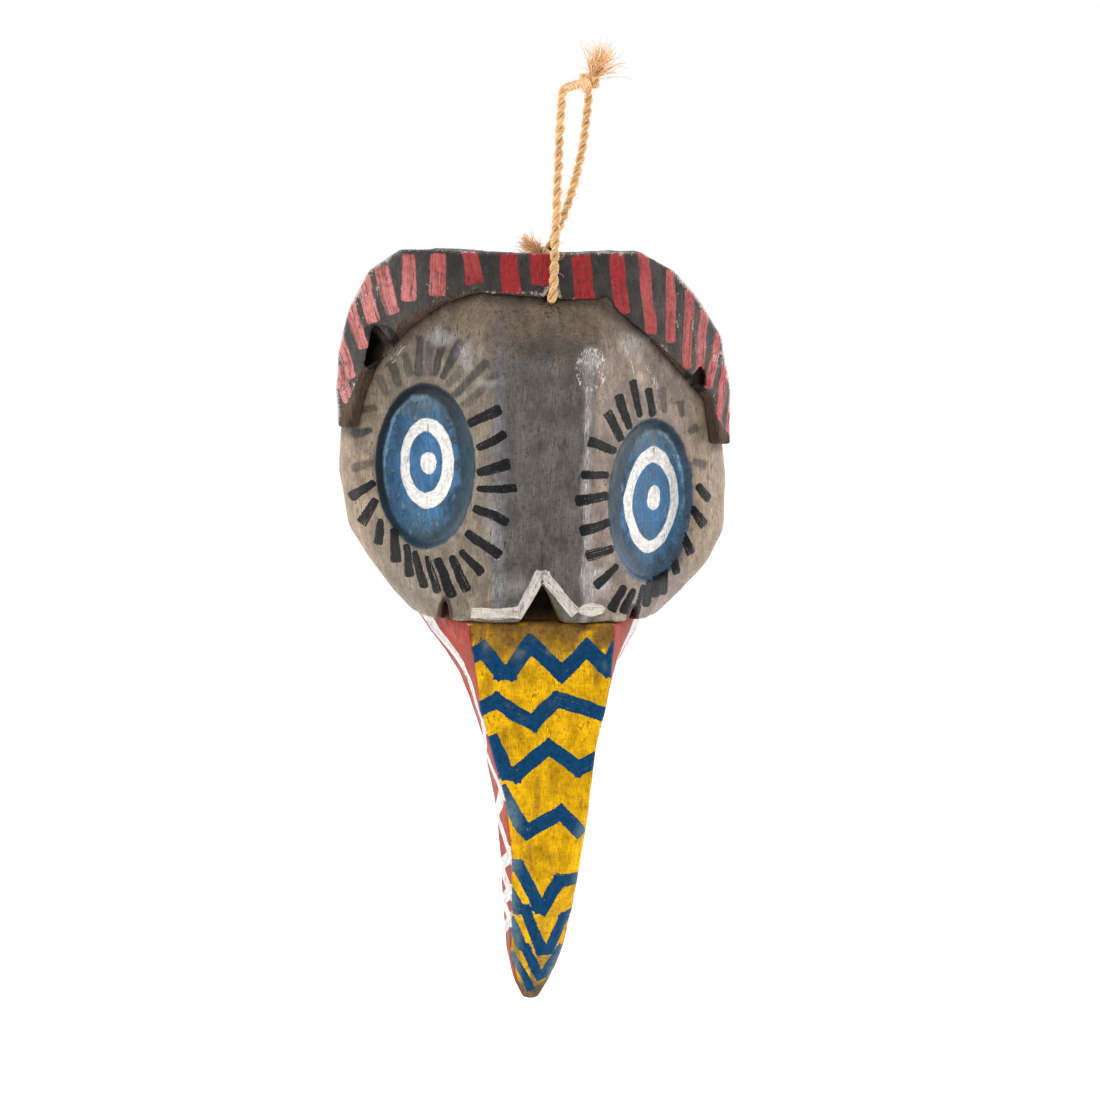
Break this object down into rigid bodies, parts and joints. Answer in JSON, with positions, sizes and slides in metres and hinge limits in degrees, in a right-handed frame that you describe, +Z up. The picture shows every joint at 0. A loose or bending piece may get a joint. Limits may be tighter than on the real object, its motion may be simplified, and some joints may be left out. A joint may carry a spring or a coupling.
{
  "type": "carved bird mask",
  "caption": "Hollow wooden bird mask with round sunken eyes, a striped arched crest, a long bowed beak and a twine loop to hang it by.",
  "frame": {"origin": "under the middle of the cord's top run, where a hook or bar carries the mask", "axes": "+X to the viewer's right, +Y towards the wearer, +Z up; the front of the mask faces -Y"},
  "size_m": [0.241, 0.107, 0.579],
  "materials": {
    "painted_head": "worn grey paint on carved wood, with blue, white and black",
    "painted_crest": "charcoal paint with worn red stripes",
    "painted_beak": "yellow paint with blue zigzags, red sides",
    "bare_wood": "bare whittled wood",
    "twine": "two-ply natural plant fibre"
  },
  "bodies": {
    "root": {"head": "painted_head", "crest": "painted_crest", "beak": "painted_beak", "beak_pegs": "bare_wood", "crest_pegs": "bare_wood", "hanging_cord": "twine", "top_knot": "twine", "top_tail": "twine", "back_knot": "twine", "back_tail": "twine"}
  },
  "joints": []
}
